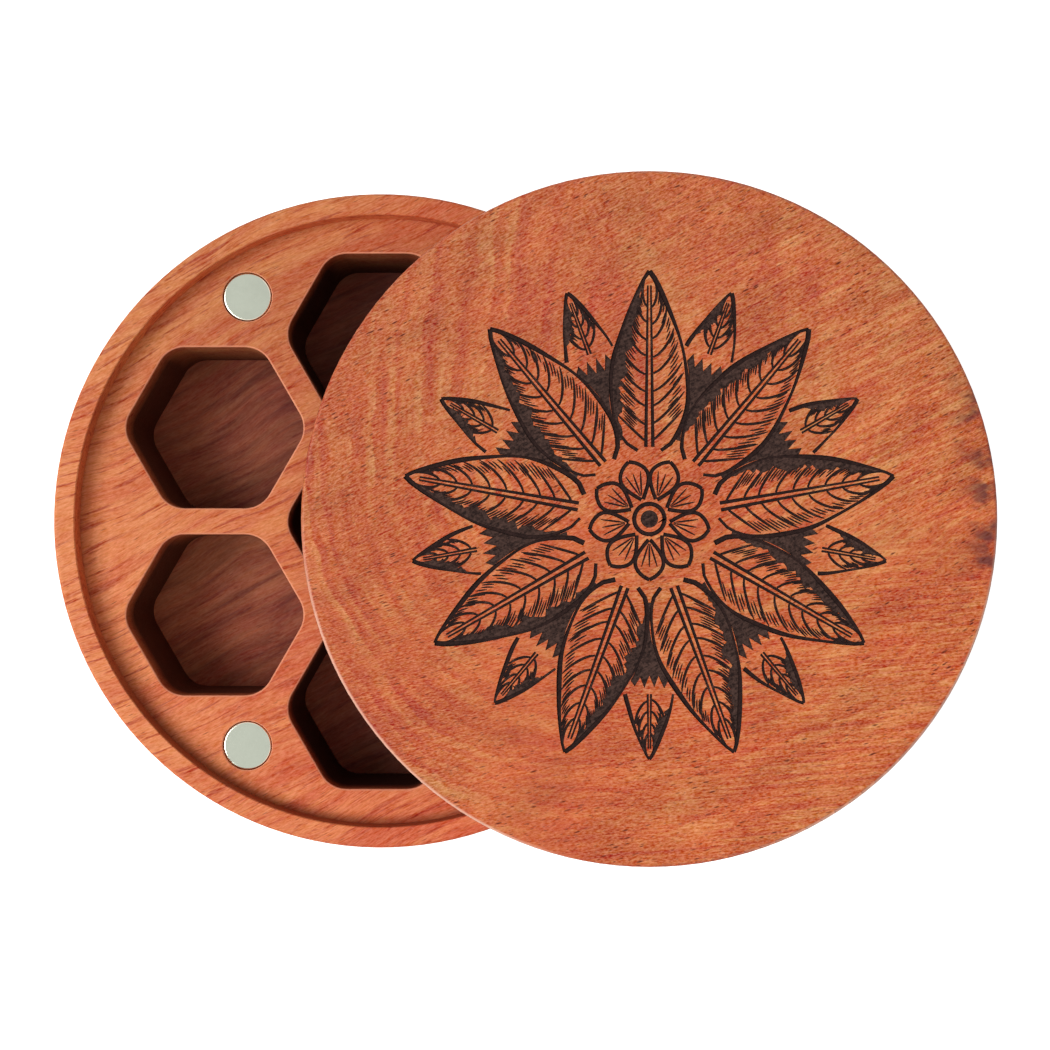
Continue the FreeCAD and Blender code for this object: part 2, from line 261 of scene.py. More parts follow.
class Wire:
    """What one socket of a node puts out. Adding or multiplying wires makes the nodes that do so."""

    def __init__(self, made, output=0):
        self.tree = made.id_data
        self.socket = made.outputs[output]

    def calc(self, operation, *terms):
        """This wire and other terms in a Math node, or in a Vector Math node for places and colours."""
        kind = "ShaderNodeMath" if self.socket.type == "VALUE" else "ShaderNodeVectorMath"
        return Wire(node(self.tree, kind, dict(enumerate((self, *terms))), operation=operation))

    def __add__(self, other):
        return self.calc("ADD", other)

    def __sub__(self, other):
        return self.calc("SUBTRACT", other)

    def __rsub__(self, other):
        return self.calc("MULTIPLY_ADD", -1.0, other)

    def __mul__(self, other):
        return self.calc("MULTIPLY", other)

    def spread(self, low, high, to_low=0.0, to_high=1.0, soft=False):
        """The value moved from one range to another and held inside it."""
        inputs = {"Value": self, "From Min": low, "From Max": high, "To Min": to_low, "To Max": to_high}
        kind = "SMOOTHSTEP" if soft else "LINEAR"
        return Wire(node(self.tree, "ShaderNodeMapRange", inputs, interpolation_type=kind, clamp=True))

    def swing(self, amount, low=0.0, high=1.0):
        """The value moved to a range that reaches as far below nought as above it."""
        return self.spread(low, high, -amount, amount)

    def toward(self, amount, color):
        """The colour mixed with another by an amount."""
        return blend(amount, self, color)

    def tinted(self, amount, tint):
        """The colour multiplied by a tint, by an amount."""
        return blend(amount, self, tint, mode="MULTIPLY")

    def lifted(self, share):
        """The colour with a share of itself added."""
        return self.calc("MULTIPLY_ADD", share, self)

    def relit(self, amount, light):
        """The colour with an amount of a light added, or taken away where the amount is below nought."""
        terms = {0: amount, 1: tuple(light), 2: self}
        added = node(self.tree, "ShaderNodeVectorMath", terms, operation="MULTIPLY_ADD")
        return Wire(added).calc("MAXIMUM", DARKEST)


def feed(made, inputs):
    """Gives inputs of a node their values or wires."""
    for key, value in inputs.items():
        if isinstance(value, Wire):
            value.tree.links.new(value.socket, made.inputs[key])
        else:
            made.inputs[key].default_value = value


def node(tree, kind, inputs=None, **settings):
    """A node with its settings and its inputs."""
    made = tree.nodes.new(kind)
    for name, value in settings.items():
        setattr(made, name, value)
    feed(made, inputs or {})
    return made


def blend(amount, first, second, mode="MIX"):
    """A mix of two colours."""
    first, second = (value if isinstance(value, Wire) else (*value, 1) for value in (first, second))
    return Wire(node(amount.tree, "ShaderNodeMix", {0: amount, 6: first, 7: second},
                     data_type="RGBA", blend_type=mode, clamp_factor=True), 2)


def between(amount, first, second):
    """A mix of two numbers."""
    return Wire(node(amount.tree, "ShaderNodeMix", {0: amount, 2: first, 3: second}, data_type="FLOAT"))


def split(vector):
    """The three parts of a vector."""
    parts = node(vector.tree, "ShaderNodeSeparateXYZ", {0: vector})
    return [Wire(parts, axis) for axis in range(3)]


def joined(*parts):
    """A vector of two or three parts."""
    return Wire(node(parts[0].tree, "ShaderNodeCombineXYZ", dict(enumerate(parts))))


def span(first, second):
    """The length of the vector with these two parts."""
    return (first * first + second * second).calc("SQRT")


def noise(place, scale, detail=2.0, roughness=0.5, output=0):
    """A noise over a place in millimetres."""
    inputs = {"Vector": place, "Scale": scale, "Detail": detail, "Roughness": roughness}
    return Wire(node(place.tree, "ShaderNodeTexNoise", inputs), output)


def wander(place, scale, detail, reach):
    """A slow shift of place, by a reach along each axis."""
    return (noise(place, scale, detail, output=1) - (0.5, 0.5, 0.5)) * reach


def drawn_out(place, share):
    """The place with a share of its way along X, so that what follows it is longer."""
    return place * (share, 1.0, 1.0)


def placed(tree, middle=(0, 0, 0), turn=0.0):
    """The place on the piece in millimetres, from a middle, turned so that X runs along the grain."""
    inputs = {
        "Vector": Wire(tree.nodes.new("ShaderNodeTexCoord"), "Object"),
        "Location": Matrix.Rotation(-turn, 3, "Z") @ Vector(middle) * -PER_MM,
        "Rotation": (0, 0, -turn),
        "Scale": (PER_MM, PER_MM, PER_MM),
    }
    return Wire(node(tree, "ShaderNodeMapping", inputs, vector_type="POINT"))


def facing(tree):
    """The three parts of the piece's own normal."""
    return split(Wire(tree.nodes.new("ShaderNodeTexCoord"), "Normal"))


def new_material(name, **values):
    """A material with one shader whose constants are set on its own sockets."""
    material = bpy.data.materials.new(name)
    material.use_nodes = True
    tree = material.node_tree
    tree.nodes.clear()
    values = {key.replace("_", " "): value for key, value in values.items()}
    shader = node(tree, "ShaderNodeBsdfPrincipled", values)
    node(tree, "ShaderNodeOutputMaterial", {"Surface": Wire(shader, "BSDF")})
    return material, tree, shader


def coat(shader, color, rough, height, depth, strength):
    """Gives the shader its colour, its roughness and a bump of a depth in millimetres."""
    inputs = {"Height": height, "Distance": depth * MM, "Strength": strength}
    bump = node(color.tree, "ShaderNodeBump", inputs)
    feed(shader, {"Base Color": color, "Roughness": rough, "Normal": Wire(bump)})


# ---- node groups shared by the materials

def build_group(name):
    """A node group with named inputs and outputs. An input without a default is a place."""
    build, inputs, outputs = GROUPS[name]
    tree = bpy.data.node_groups.new(name, "ShaderNodeTree")
    for label, default in inputs.items():
        kind = "NodeSocketVector" if default is None else "NodeSocketFloat"
        socket = tree.interface.new_socket(label, in_out="INPUT", socket_type=kind)
        if default is not None:
            socket.default_value = default
    for label in outputs:
        tree.interface.new_socket(label, in_out="OUTPUT", socket_type="NodeSocketFloat")
    given = tree.nodes.new("NodeGroupInput")
    made = build(*(Wire(given, label) for label in inputs))
    node(tree, "NodeGroupOutput", dict(zip(outputs, made)))


def use_group(name, **inputs):
    """The outputs of a shared node group, which is built when it is first used."""
    if name not in bpy.data.node_groups:
        build_group(name)
    tree = next(value.tree for value in inputs.values() if isinstance(value, Wire))
    made = node(tree, "ShaderNodeGroup", inputs, node_tree=bpy.data.node_groups[name])
    return [Wire(made, label) for label in GROUPS[name][2]]


def fibres(grain, length, width, contrast):
    """Fibres along the grain."""
    return use_group("wood_fibre", Grain=grain, Length=length, Width=width, Contrast=contrast)[0]


def open_pores(grain, length, width, size):
    """Open pores along the grain, one in each cell of a length and a width."""
    return use_group("wood_pores", Grain=grain, Length=length, Width=width, Size=size)[0]


def fibre_group(grain, length, width, contrast):
    """Fine fibres along X: a noise drawn out to a length and a width."""
    rough = noise(grain.calc("DIVIDE", joined(length, width, width)), 1.0, 3.0, 0.6)
    return [rough.spread(0.5 - contrast, contrast + 0.5)]


def pore_group(grain, length, width, size):
    """Short open pores along X, each of its own size."""
    smallest, growth, core = 0.35, 1.1, 0.45
    drawn = grain.calc("DIVIDE", joined(length, width, width))
    cells = node(grain.tree, "ShaderNodeTexVoronoi", {"Vector": drawn, "Scale": 1.0, "Randomness": 1.0})
    chance = Wire(node(grain.tree, "ShaderNodeSeparateColor", {0: Wire(cells, "Color")}))
    edge = (chance * growth + smallest) * size
    return [Wire(cells, "Distance").spread(edge * core, edge, 1.0, 0.0)]


def growth_group(place, spacing, heart_x, heart_y, open_left, open_right, ragged):
    """Growth bands of a flat-sawn board: loops round a heart, sharp outside and fading inwards."""
    loop_ease, bend_ease = 20.0, 12.0
    slow = wander(place, 0.030, 2.0, (9, 8, 6))
    quick = wander(place, 0.22, 2.0, (1.6, 1.8, 1.0))
    x, y, z = split(place + (slow + quick))
    across, up = x - heart_x, y - heart_y
    # how far from the heart: the loops stand open to the front, and lean forward on the right
    right = across.spread(-8.0, 12.0, soft=True)
    side = across * between(right, open_left, open_right)
    lean = (across - 10.0).calc("SMOOTH_MAX", 0.0, bend_ease) * 0.30
    below = (lean - up).calc("SMOOTH_MAX", 0.0, loop_ease)
    above = up.calc("SMOOTH_MAX", 0.0, loop_ease) * 0.12
    away = span(side, below + above)
    deep = z * -0.45 + away
    figure = noise(joined(deep * 0.62, x * 0.045, y * 0.045), 1.0, 5.0, 0.62)
    # the bands are counted outwards, unevenly
    uneven = Wire(node(
        place.tree, "ShaderNodeTexNoise", {"W": deep, "Scale": 0.09, "Detail": 2.0}, noise_dimensions="1D"))
    count = uneven * 2.4 + deep.calc("DIVIDE", spacing) + ragged * 0.20
    number = {"W": count.calc("FLOOR")}
    tint = Wire(node(place.tree, "ShaderNodeTexWhiteNoise", number, noise_dimensions="1D"))
    part = count.calc("FRACT")
    band = part.calc("POWER", 1.7) * part.spread(0.86, 1.0, 1.0, 0.0)
    heart = away.spread(2.0, 14.0, 1.0, 0.0, soft=True)
    return band, tint, heart, figure.spread(0.30, 0.70)


GROUPS = {
    "wood_fibre": (
        fibre_group, {"Grain": None, "Length": 5.0, "Width": 0.4, "Contrast": 0.2}, ("Fibre",)),
    "wood_pores": (
        pore_group, {"Grain": None, "Length": 2.4, "Width": 0.52, "Size": 0.2}, ("Pore",)),
    "growth_bands": (
        growth_group,
        {"Place": None, "Spacing": 3.6, "Heart X": -7.0, "Heart Y": 4.0,
         "Open Left": 0.90, "Open Right": 0.46, "Ragged": 0.5},
        ("Band", "Tint", "Heart", "Figure")),
}


# ---- the lid's wood

def lid_tone(place, spacing, grain, fine, streak):
    """How pale the lid's wood is: growth bands on the left, streaks on the right, and mottle."""
    x, _, _ = split(place)
    band, tint, heart, figure = use_group("growth_bands", Place=place, Spacing=spacing, Ragged=fine)
    fading = x.spread(-48.0, -15.0, 1.7, 1.0)
    patchy = noise(place, 0.08).spread(0.38, 0.62, 0.30, 1.20)
    rings = (figure * 0.38 + tint * 0.22 - 0.24 - band * (tint * 0.26 + 0.12)) * fading * patchy
    streaks = (streak - 0.40) * x.spread(-10.0, 35.0, 0.18, 0.78)
    patches = noise(place, 0.045, 3.0, 0.6).spread(*NOISE_REACH, 0.26, 0.58)
    mottle = noise(drawn_out(grain, 0.55), 1.1, 3.0, 0.62).swing(0.16, *NOISE_REACH)
    return rings + streaks - heart * 0.10 + patches + mottle + fine.swing(0.12)


def lid_marks(place):
    """How strong the stain at the right edge, the darker edge and the painted highlight on its front are."""
    x, y, z = split(place)
    away = span(x, y)
    cloud = noise(drawn_out(place, 0.6), 0.34, 3.0, 0.6).spread(0.44, 0.62)
    stained = y.spread(-16.0, -8.0) * y.spread(28.0, 18.0) * x.spread(44.0, 50.5)
    stain = cloud * stained * away.spread(47.0, 52.0) * z.spread(-3.5, -0.8) * 0.85
    edge = away.spread(53.1, 53.9) * z.spread(-1.3, -0.5)
    # painted highlight: pale arcs on the edge towards the front left and front right, where light catches it
    front = y.spread(2.0, -16.0) * x.calc("ABSOLUTE").spread(12.0, 24.0)
    edge_highlight = front * away.spread(53.45, 53.75) * z.spread(-1.0, -0.5) * 0.70
    return stain, edge, edge_highlight


def lid_wood():
    """Tan-orange flat-sawn wood with growth bands, fibres and pores."""
    wood = bpy.context.scene.dice_chest_wood
    material, tree, shader = new_material("lid_wood", Specular_IOR_Level=0.22)
    place = placed(tree, LID_FIGURE_MIDDLE)
    x, y, _ = split(place)
    # the fibres rise to the right, flatter towards the front, and lie level in the front's right part
    along, across, high = split(placed(tree, LID_FIGURE_MIDDLE, wood.grain_turn))
    grain = joined(along, along * y.spread(0.0, -36.0, 0.0, 0.22, soft=True) + across, high)
    level = placed(tree, LID_FIGURE_MIDDLE, LEVEL_TURN)
    front = y.spread(4.0, -12.0, soft=True) * x.spread(-30.0, -5.0)
    fine, grit, streak = (
        between(front, fibres(grain, *LID_FIBRES[name]), fibres(level, *LID_FIBRES[name]))
        for name in ("fine", "grit", "streak"))
    tone = lid_tone(place, wood.ring_spacing * PER_MM, grain, fine, streak)
    color = blend(tone.spread(0.0, WARM_TONE), wood.lid_band, wood.lid_warm)
    color = color.toward(tone.spread(WARM_TONE, 1.0), wood.lid_pale)
    lines = fibres(level, *LID_FIBRES["line"]).spread(0.0, 0.36, 0.80, 0.0)
    color = color.toward(lines * front, wood.lid_band)
    color = color.tinted(y.spread(-20.0, 50.0, soft=True), LID_BACK_TINT)
    color = color.tinted(x.spread(-18.0, -46.0), LID_LEFT_TINT)
    drift = noise(drawn_out(grain, 0.5), 0.17, 2.0, 0.55)
    color = color.lifted(drift.swing(0.13, *NOISE_REACH))
    color = color.relit(grit.swing(0.50) + fine.swing(0.22), wood.fibre_light)
    stain, edge, edge_highlight = lid_marks(place)
    color = color.toward(stain, wood.stain)
    color = color.toward(open_pores(grain, *LID_SPECKS) * 0.62, SPECK_COLOR)
    porous = noise(place, 0.11, 3.0, 0.6).spread(0.40, 0.58, 0.15, 1.0)
    pores = open_pores(grain, *LID_PORES) * porous
    color = color.toward(pores, wood.pore)
    color = color.toward(edge * 0.25, wood.lid_band)
    # painted highlight on the lid's edge at the front
    color = color.toward(edge_highlight, LID_EDGE_HIGHLIGHT_COLOR)
    rough = fine.spread(0.0, 1.0, 0.62, 0.46) - edge * 0.30
    coat(shader, color, rough, pores * -0.5 + fine * 0.35, depth=0.06, strength=0.6)
    return material


# ---- the tray's wood

def tray_figure(wood, place, grain, fibre, pores):
    """The tray's wood before it was cut: pale and red parts, streaks, veins, fibres and pores."""
    x, _, z = split(place)
    along, across, high = split(grain)
    away = span(across - 12.0, high + 52.0)
    rings = noise(joined(away * 0.55, along * 0.02), 1.0, 4.0, 0.6).swing(0.26, 0.32, 0.68)
    mottle = noise(drawn_out(grain, 0.4), 0.55, 4.0, 0.65).swing(0.32, *NOISE_REACH)
    side = x.spread(-50.0, 20.0, 0.42, -0.35)
    tone = fibre["broad"] * 0.75 + side + rings + mottle + fibre["streak"].swing(0.16)
    color = blend(tone, wood.tray_red, wood.tray_pale)
    color = color.toward(fibre["streak"].spread(0.0, 0.34, 0.56, 0.0), wood.tray_streak)
    veins = fibre["vein"].spread(0.0, 0.26, 0.72, 0.0) * (z - LAND).spread(-6.0, -2.0, 0.35, 1.0)
    color = color.toward(veins, wood.tray_streak)
    color = color.relit(fibre["fine"].swing(0.26) + fibre["grit"].swing(0.26), wood.fibre_light)
    color = color.relit(fibre["hue"].swing(1.0), TRAY_HUE_LIGHT)
    return color.toward(pores * 0.60, wood.pore)


def paint_well_shade(wood, color, place, fibre):
    """Painted shade darkening the wells and, towards the lid, the tray, with a painted highlight on the
    wells' rounded upper edge.
    """
    x, y, z = split(place)
    above = z - LAND
    _, backward, upward = facing(place.tree)
    upright = upward.spread(0.35, 0.85, 1.0, 0.0)
    inside = span(x, y).spread(48.5, 50.0, 1.0, 0.0) * z.spread(2.5, 4.5)
    # the back walls, which face the front, keep more light towards their top, so less painted shade falls
    # there
    back_wall = backward.spread(-0.6, -0.95) * above.spread(-20.0, -3.0, 0.10, 0.88)
    wall = above.spread(-6.0, -0.2, 1.0, 0.0) * inside * upright * (1.0 - back_wall)
    floor = above.spread(-4.0, -0.6, 1.0, 0.0) * inside * (1.0 - upright)
    color = color.tinted(y.spread(14.0, 34.0), TRAY_BACK_TINT)
    # painted shade: the tray darker towards the back and right, where the lid stands, less so on the rim and
    # more on the well floors
    painted_shade = (x * 0.75 + y).spread(-55.0, 18.0) * above.spread(0.5, 3.5, 1.0, 0.6)
    color = color.tinted(painted_shade, PAINTED_SHADE_TINT)
    color = color.tinted(painted_shade * floor, PAINTED_FLOOR_SHADE_TINT)
    # painted shade: the wells' walls near black and their floors dark
    color = color.toward(wall * (1.0 - wood.well_wall_shade_tone), WELL_WALL_SHADE_COLOR)
    color = color.toward(floor * (1.0 - wood.well_floor_shade_tone), WELL_FLOOR_SHADE_COLOR)
    coarse = fibre["streak"].swing(0.14, 0.1, 0.9) + fibre["dark"].spread(0.0, 0.8, -0.20, 0.10)
    color = color.lifted(floor * coarse)
    # painted shade: floors and walls of the wells under the lid darkened
    color = color.tinted(x.spread(-24.0, -2.0) * floor, LID_SHADE_FLOOR_TINT)
    color = color.tinted(wall * x.spread(-19.0, -14.0), LID_SHADE_WALL_TINT)
    # painted highlight on the wells' rounded upper edge
    rounded = upward.spread(0.25, 0.50) * upward.spread(0.90, 0.98, 1.0, 0.0)
    return color.toward(rounded * above.spread(-0.6, -0.4) * inside * 0.60, WELL_EDGE_HIGHLIGHT_COLOR)


def shade_rim(wood, color, place):
    """Painted shade at the foot of the rim, stronger on the left and in front, and on its inner wall a
    painted highlight at the back and painted shade in front.
    """
    x, y, z = split(place)
    above, beyond = z - LAND, span(x, y) - RECESS
    front = y.spread(-12.0, -34.0)
    # painted shade in a ring at the foot of the rim's inner wall
    ring = beyond.spread(-1.4, -0.2) * beyond.spread(0.1, 0.4, 1.0, 0.0)
    low = above.spread(0.6, 3.8, 1.0, 0.0) * above.spread(-1.0, -0.4)
    depth = x.spread(-51.0, -42.0, 0.26, 0.04).calc("MAXIMUM", front * 0.45)
    color = color.toward(ring * low * depth, wood.rim_foot_shade)
    upright = facing(place.tree)[2].spread(0.35, 0.85, 1.0, 0.0)
    wall = upright * beyond.spread(0.9, 1.1, 1.0, 0.0) * above.spread(0.0, 0.1)
    # painted highlight on the rim's inner wall at the back, and painted shade on it in front
    color = color.lifted(wall * x.spread(-47.0, -36.0, 0.0, 0.45) * y.spread(4.0, 24.0))
    return color.toward(wall * front * 0.70, wood.rim_foot_shade)


def tray_wood():
    """Paler, straight-grained wood with long red streaks, with painted shade in the wells and at the foot of
    the rim.
    """
    wood = bpy.context.scene.dice_chest_wood
    material, tree, shader = new_material("tray_wood", Specular_IOR_Level=0.15)
    place = placed(tree)
    grain = placed(tree, turn=wood.grain_turn) + wander(place, 0.03, 1.0, (0, 9, 5))
    fibre = {name: fibres(grain, *size) for name, size in TRAY_FIBRES.items()}
    pores = open_pores(grain, *TRAY_PORES)
    color = tray_figure(wood, place, grain, fibre, pores)
    color = paint_well_shade(wood, color, place, fibre)
    color = shade_rim(wood, color, place)
    rough = fibre["fine"].spread(0.0, 1.0, 0.60, 0.44)
    coat(shader, color, rough, pores * -1.0 + fibre["fine"] * 0.4, depth=0.05, strength=0.3)
    return material


# ---- the burnt wood, the metal and the glue

def share_of(color, share):
    """A plain colour made lighter or darker."""
    return tuple(part * share for part in color)


def burnt_wood(name, color, paler):
    """Wood scorched by the burning tool: brown-black, mottled along the fibres."""
    wood = bpy.context.scene.dice_chest_wood
    material, tree, shader = new_material(name, Specular_IOR_Level=0.12)
    grain = placed(tree, LID_FIGURE_MIDDLE, wood.grain_turn)
    mottle = noise(grain, 2.4, 3.0, 0.65)
    mix = (fibres(grain, *BURNT_FIBRES) * 0.25 + mottle).spread(0.46, 0.80)
    rough = mottle.spread(*NOISE_REACH, 0.75, 0.9)
    coat(shader, blend(mix, color, paler), rough, mottle, depth=0.08, strength=0.7)
    return material


def nickel():
    """Plated nickel with a faint haze of fine scratches, and a painted reflection that lightens its rounded
    edge.
    """
    metal = bpy.context.scene.dice_chest_metal
    material, tree, shader = new_material("magnet_nickel", Metallic=1.0)
    place = placed(tree)
    haze = noise(place, 0.35, 3.0, 0.6)
    scratches = fibres(placed(tree, turn=SCRATCH_TURN), *SCRATCHES)
    both = fibres(place, *CROSS_SCRATCHES) * 0.5 + scratches
    color = blend(haze.spread(0.35, 0.7), metal.nickel, share_of(metal.nickel, NICKEL_HAZE_SHARE))
    # painted reflection: the rounded edge mixed towards a pale colour
    edge = facing(tree)[2].calc("ABSOLUTE").spread(0.90, 0.995, 1.0, 0.0)
    rough = both * 0.06 + haze * 0.10 + (metal.polish - 0.08)
    coat(shader, color.toward(edge, NICKEL_EDGE_REFLECTION_COLOR), rough, both, depth=0.004, strength=0.35)
    return material


def set_glue():
    """Clear amber glue, set hard with small ripples."""
    metal = bpy.context.scene.dice_chest_metal
    material, tree, shader = new_material("set_glue", IOR=1.48)
    cloud = noise(placed(tree), 0.9, 3.0, 0.6)
    color = blend(cloud.spread(0.35, 0.65), metal.glue, share_of(metal.glue, GLUE_CLOUD_SHARE))
    coat(shader, color, cloud.spread(*NOISE_REACH, 0.14, 0.3), cloud, depth=0.05, strength=0.5)
    return material


def give_materials(thing, *materials):
    """Puts materials in the slots of an object, in place of those it has."""
    thing.data.materials.clear()
    for material in materials:
        thing.data.materials.append(material)


# ---- the ornament's drawing, in millimetres from the middle of the lid

class Drawing:
    """Lines with half a width at each point, and dark areas, drawn by a seeded hand on the lid's top."""

    def __init__(self, seed):
        self.lines = []
        self.areas = []
        self.hand = random.Random(seed)

    def slip(self, amount):
        """A small seeded slip of the hand."""
        return self.hand.uniform(-amount, amount)


class Leaf:
    """A pointed leaf from its foot to its tip, at an angle round the middle."""

    def __init__(self, angle, foot, tip, broad):
        self.angle = angle
        self.foot = foot
        self.tip = tip
        self.broad = broad

    def half(self, part):
        """Half the width at a part of the length, with a narrow foot and a drawn-out tip."""
        part = min(1.0, max(0.0, part))
        body = math.sin(math.pi * part ** 0.82) ** 0.8
        return self.broad * (body * (1 - 0.22 * part) + 0.30 * (1 - part) ** 3)

    def point(self, part, across):
        """A point at a part of the length, that many millimetres across."""
        return turned((self.foot + (self.tip - self.foot) * part, across), self.angle)

    def vein_point(self, leave, reach, run, side):
        """A point on a vein that leaves the midrib, sweeps along by a reach and ends near the edge."""
        part = leave + reach * run ** 1.15
        half = self.half(part) * (0.11 + 0.80 * run ** 0.85)
        return self.point(part, side * half)

    def covers(self, place, margin):
        """Whether a point lies on the leaf or within a margin of it."""
        along, across = turned(place, -self.angle)
        part = (along - self.foot) / (self.tip - self.foot)
        return -0.02 < part < 1.0 and abs(across) < self.half(part) + margin


def turned(point, angle):
    """A point turned round the middle."""
    cosine, sine = math.cos(angle), math.sin(angle)
    return point[0] * cosine - point[1] * sine, point[0] * sine + point[1] * cosine


def swell(part, ends):
    """The width of a line along its length: thin at its ends."""
    return ends + (1 - ends) * math.sin(math.pi * min(1.0, max(0.0, part))) ** 0.6


def draw_edges(drawing, leaf, line, start):
    """The two sides of a leaf's outline and the two lines of its midrib."""
    edge_steps, rib_steps, rib_length = 26, 13, 0.90
    for side in (-1, 1):
        edge = []
        for step in range(edge_steps + 1):
            part = start + (1 - start) * step / edge_steps
            ripple = 0.14 * math.sin(part * 17 + side * 1.3 + leaf.angle * 3) * (1 - part)
            width = line * (0.85 + 0.25 * math.sin(part * 9 + side * 2 + leaf.angle))
            edge.append((*leaf.point(part, side * (leaf.half(part) + ripple)), width))
        drawing.lines.append(edge)
        rib = []
        for step in range(rib_steps + 1):
            part = start + 0.02 + (rib_length - start) * step / rib_steps
            half = side * (0.035 + 0.055 * (1 - part)) * leaf.broad
            rib.append((*leaf.point(part, half), line * 0.66 * (1.15 - 0.6 * part)))
        drawing.lines.append(rib)


def draw_veins(drawing, leaf, fine, veins, start):
    """Veins that leave the midrib and sweep to the tip, with short strokes between them."""
    vein_steps, stroke_steps = 8, 5
    vein_reach, length = 0.17, 0.84 - start
    for side in (-1, 1):
        strokes, inner_end = (4, 0.34) if side == SHADED else (3, 0.52)
        for index in range(veins):
            leave = start + length * (index + 0.6) / veins + drawing.slip(0.008)
            reach = vein_reach + drawing.slip(0.015)
            vein = []
            for step in range(vein_steps + 1):
                run = step / vein_steps
                width = fine * swell(0.15 + 0.85 * run, 0.35) * 1.15
                vein.append((*leaf.vein_point(leave, reach, run, side), width))
            drawing.lines.append(vein)
            if index == veins - 1:
                continue
            for number in range(strokes):
                later = leave + length / veins * (number + 1) / (strokes + 1)
                inner = inner_end + drawing.slip(0.12)
                outer = min(0.92, inner + 0.40 + drawing.slip(0.12))
                stroke = []
                for step in range(stroke_steps + 1):
                    run = inner + (outer - inner) * step / stroke_steps
                    width = fine * 0.70 * swell(step / stroke_steps, 0.45)
                    stroke.append((*leaf.vein_point(later, vein_reach, run, side), width))
                drawing.lines.append(stroke)


def draw_shade(drawing, leaf, start):
    """The dark side of a leaf: a crescent inside the edge with a ragged inner side."""
    low, high, steps = start + 0.08, 0.93, 44
    outer, inner = [], []
    for step in range(steps + 1):
        run = step / steps
        part = low + (high - low) * run
        half = leaf.half(part) - 0.05
        thick = 0.30 * leaf.broad * math.sin(math.pi * run) ** 0.7
        ragged = 1 + drawing.slip(0.30) + 0.18 * math.sin(run * 31 + leaf.angle * 5)
        outer.append(leaf.point(part, SHADED * half))
        inner.append(leaf.point(part, SHADED * max(0.15, half - thick * ragged)))
    drawing.areas.append(outer + inner[-2:0:-1])


def draw_gap(drawing, left, right, low, high):
    """The dark ground between two leaves, up to a ragged end."""
    steps, spaces = 16, 8
    parts = [low + (high - low) * step / steps for step in range(steps + 1)]
    first = [left.point(part, left.half(part) + LEAF_ROOM) for part in parts]
    second = [right.point(part, -right.half(part) - LEAF_ROOM) for part in parts]
    teeth = []
    for number in range(1, spaces):
        share = number / spaces
        x = first[-1][0] + (second[-1][0] - first[-1][0]) * share
        y = first[-1][1] + (second[-1][1] - first[-1][1]) * share
        reach = 1.0 + (0.045 if number % 2 else -0.030) + drawing.slip(0.012)
        teeth.append((x * reach, y * reach))
    drawing.areas.append(first + teeth + second[::-1])


def clip(drawing, first, leaves, margin):
    """Takes what lies under the broad leaves off the lines drawn since a number."""
    def hidden(point):
        """Whether a point of a line lies under a broad leaf."""
        return any(leaf.covers(point[:2], margin + point[2]) for leaf in leaves)

    runs = [list(run) for line in drawing.lines[first:] for under, run in groupby(line, hidden) if not under]
    drawing.lines[first:] = [run for run in runs if len(run) > 2]


def draw_flower(drawing, petals, line, fine):
    """The small flower in the middle: petals with strokes, a ring and a dark eye."""
    petal_foot, petal_tip, petal_broad, ring, eye = 3.2, 9.4, 2.15, 2.35, 1.35
    edge_steps, stroke_steps, ring_steps = 14, 4, 40
    for index in range(petals):
        angle = math.pi / 2 + math.tau * (index + 0.5) / petals
        petal = Leaf(angle, petal_foot, petal_tip, petal_broad)
        for side in (-1, 1):
            edge = []
            for step in range(edge_steps + 1):
                part = step / edge_steps
                bow = math.sin(math.pi * part ** 1.3) ** 0.75
                edge.append((*petal.point(part, side * (petal.broad * bow + 0.12 * (1 - part))), line * 0.8))
            drawing.lines.append(edge)
        for lean in (-0.5, 0.0, 0.5):
            stroke = []
            for step in range(stroke_steps + 1):
                part = 0.10 + 0.58 * step / stroke_steps
                across = lean * (0.25 + 2.2 * step / stroke_steps)
                stroke.append((*petal.point(part, across), fine * 0.8 * swell(step / stroke_steps, 0.45)))
            drawing.lines.append(stroke)
    circle = [turned((1, 0), math.tau * step / ring_steps) for step in range(ring_steps + 1)]
    drawing.lines.append([(x * ring, y * ring, line * 0.9) for x, y in circle])
    drawing.areas.append([(x * eye, y * eye) for x, y in circle[:-1]])


def draw_medallion(ornament):
    """The whole ornament: broad leaves round a small flower, slim leaves behind them."""
    drawing = Drawing(ornament.seed)
    reach = ornament.reach * PER_MM
    line = ornament.outline * PER_MM / 2
    fine = ornament.hatch * PER_MM / 2
    pitch = math.tau / ornament.leaves
    broad_foot, broad_half, gap_foot, gap_end = 10.6, 6.1, 0.06, 0.50
    slim_foot, slim_half, slim_shorter, under = 17.0, 4.1, 1.2, 0.30
    broad = [Leaf(math.pi / 2 + index * pitch, broad_foot, reach, broad_half)
             for index in range(ornament.leaves)]
    for number, leaf in enumerate(broad):
        draw_edges(drawing, leaf, line, start=0.0)
        draw_veins(drawing, leaf, fine, veins=9, start=0.0)
        draw_shade(drawing, leaf, start=0.0)
        draw_gap(drawing, leaf, broad[(number + 1) % len(broad)], gap_foot, gap_end)
    first = len(drawing.lines)
    for leaf in broad:
        slim = Leaf(leaf.angle + pitch / 2, slim_foot, reach - slim_shorter, slim_half)
        draw_edges(drawing, slim, line * 0.85, start=0.48)
        draw_veins(drawing, slim, fine, veins=4, start=0.50)
        draw_shade(drawing, slim, start=0.52)
    clip(drawing, first, broad, under)
    draw_flower(drawing, ornament.leaves, line, fine)
    return drawing


